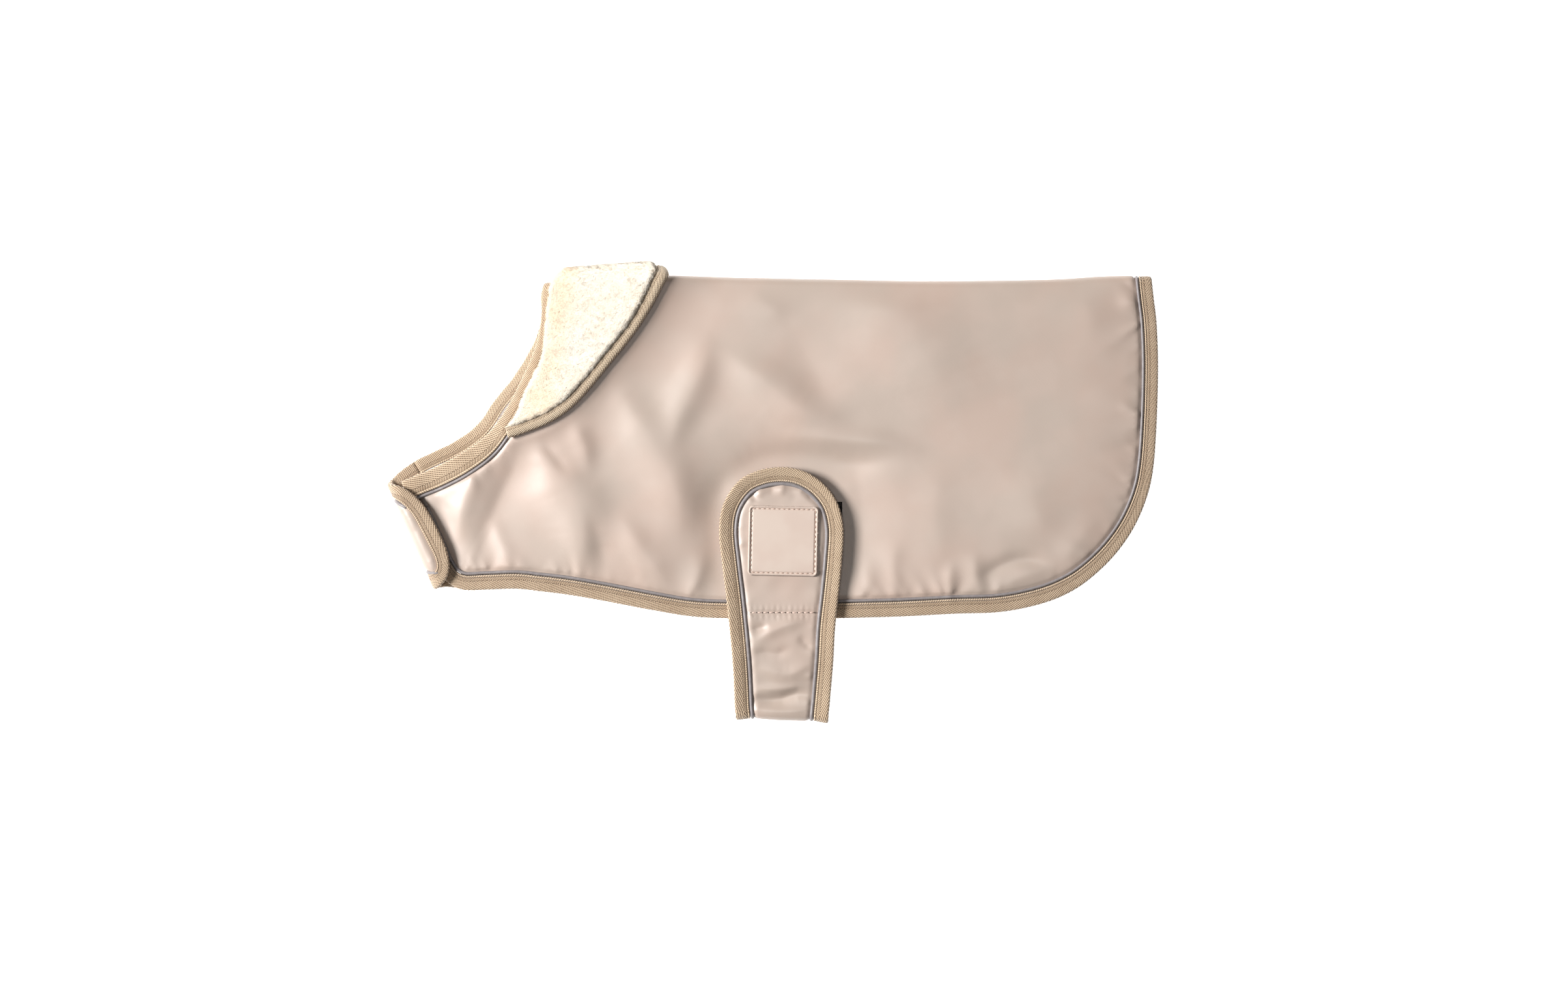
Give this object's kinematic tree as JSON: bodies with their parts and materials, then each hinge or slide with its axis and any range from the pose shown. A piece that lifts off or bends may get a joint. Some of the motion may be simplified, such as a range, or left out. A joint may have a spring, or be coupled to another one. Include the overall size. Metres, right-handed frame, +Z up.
{
  "type": "dog windbreaker jacket",
  "caption": "Satin dog coat with a pile collar, taped edges, chest flap and belly strap, folded in half along the spine and laid flat.",
  "frame": {"origin": "middle of the footprint, on the surface the coat lies on", "axes": "+X from chest to tail, +Y towards the spine crease, +Z up, away from the surface"},
  "size_m": [0.4426, 0.2643, 0.0212],
  "materials": {
    "shell_cloth": "satin twill with a soft sheen",
    "binding_tape": "folded herringbone twill tape",
    "reflective_piping": "grey reflective cord",
    "collar_pile": "short cream pile",
    "label_rubber": "satin moulded rubber",
    "hook_fabric": "black hook tape"
  },
  "bodies": {
    "root": {"back_panel": "shell_cloth", "hem_tape": "binding_tape", "neck_tape": "binding_tape", "hem_piping": "reflective_piping", "neck_piping_near": "reflective_piping", "neck_piping_far": "reflective_piping", "collar": "collar_pile", "collar_tape": "binding_tape", "chest_flap": "shell_cloth", "flap_tape": "binding_tape", "flap_piping_top": "reflective_piping", "flap_piping_low": "reflective_piping", "belly_strap": "shell_cloth", "strap_tape": "binding_tape", "strap_piping": "reflective_piping", "label": "label_rubber", "hook_patch": "hook_fabric"}
  },
  "joints": []
}
